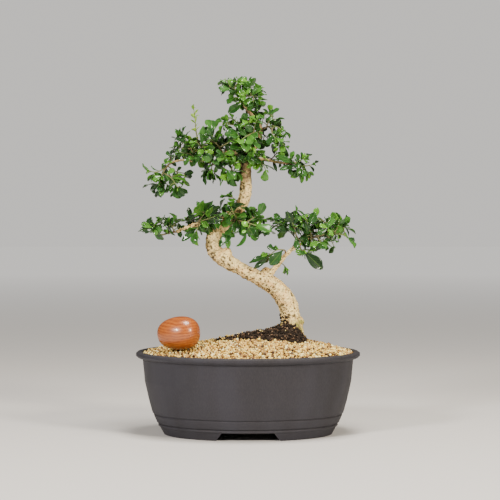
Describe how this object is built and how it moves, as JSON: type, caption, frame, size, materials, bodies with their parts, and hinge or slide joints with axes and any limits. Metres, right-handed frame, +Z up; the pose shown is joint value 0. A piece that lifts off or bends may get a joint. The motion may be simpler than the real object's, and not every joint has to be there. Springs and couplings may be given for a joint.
{
  "type": "fukien tea bonsai",
  "caption": "Fukien tea bonsai with a pale S-curved trunk and small glossy leaves, in an oval dark grey pot topped with gravel and a polished wooden egg.",
  "frame": {"origin": "middle of the pot's foot, on the surface that it stands on", "axes": "+Z up, +X to the right along the pot's long side seen from the front, +Y to the back"},
  "size_m": [0.32, 0.24, 0.5094],
  "materials": {
    "pot_clay": "matte dark grey, unglazed",
    "dark_soil": "rough dark bark and soil chunks",
    "pale_gravel": "pale cream and tan pebbles",
    "bark": "pale rough bark with dark pits",
    "leaf": "waxy dark green leaves",
    "young_leaf": "soft lime green young leaves",
    "polished_wood": "polished red-brown wood"
  },
  "bodies": {
    "root": {"pot": "pot_clay", "soil": "dark_soil", "gravel": "pale_gravel", "wooden_egg": "polished_wood", "trunk": "bark", "spray_top": "leaf", "spray_crown_right": "leaf", "spray_crown_left": "leaf", "spray_crown_front": "leaf", "spray_crown_back": "leaf", "spray_left_upper": "leaf", "spray_left_outer": "leaf", "young_shoot": "young_leaf", "spray_left_under": "leaf", "spray_left_back": "leaf", "spray_left_tip": "leaf", "spray_centre": "leaf", "spray_right_tip": "leaf", "spray_right_inner": "leaf", "trunk_sprout": "leaf", "spray_low_left_tip": "leaf", "spray_low_left": "leaf", "spray_low_left_back": "leaf", "spray_low_centre": "leaf", "spray_low_centre_back": "leaf", "spray_low_right_tip": "leaf", "spray_low_right_inner": "leaf", "spray_low_right_back": "leaf", "spray_low_right_front": "leaf", "spray_low_right_under": "leaf"}
  },
  "joints": []
}
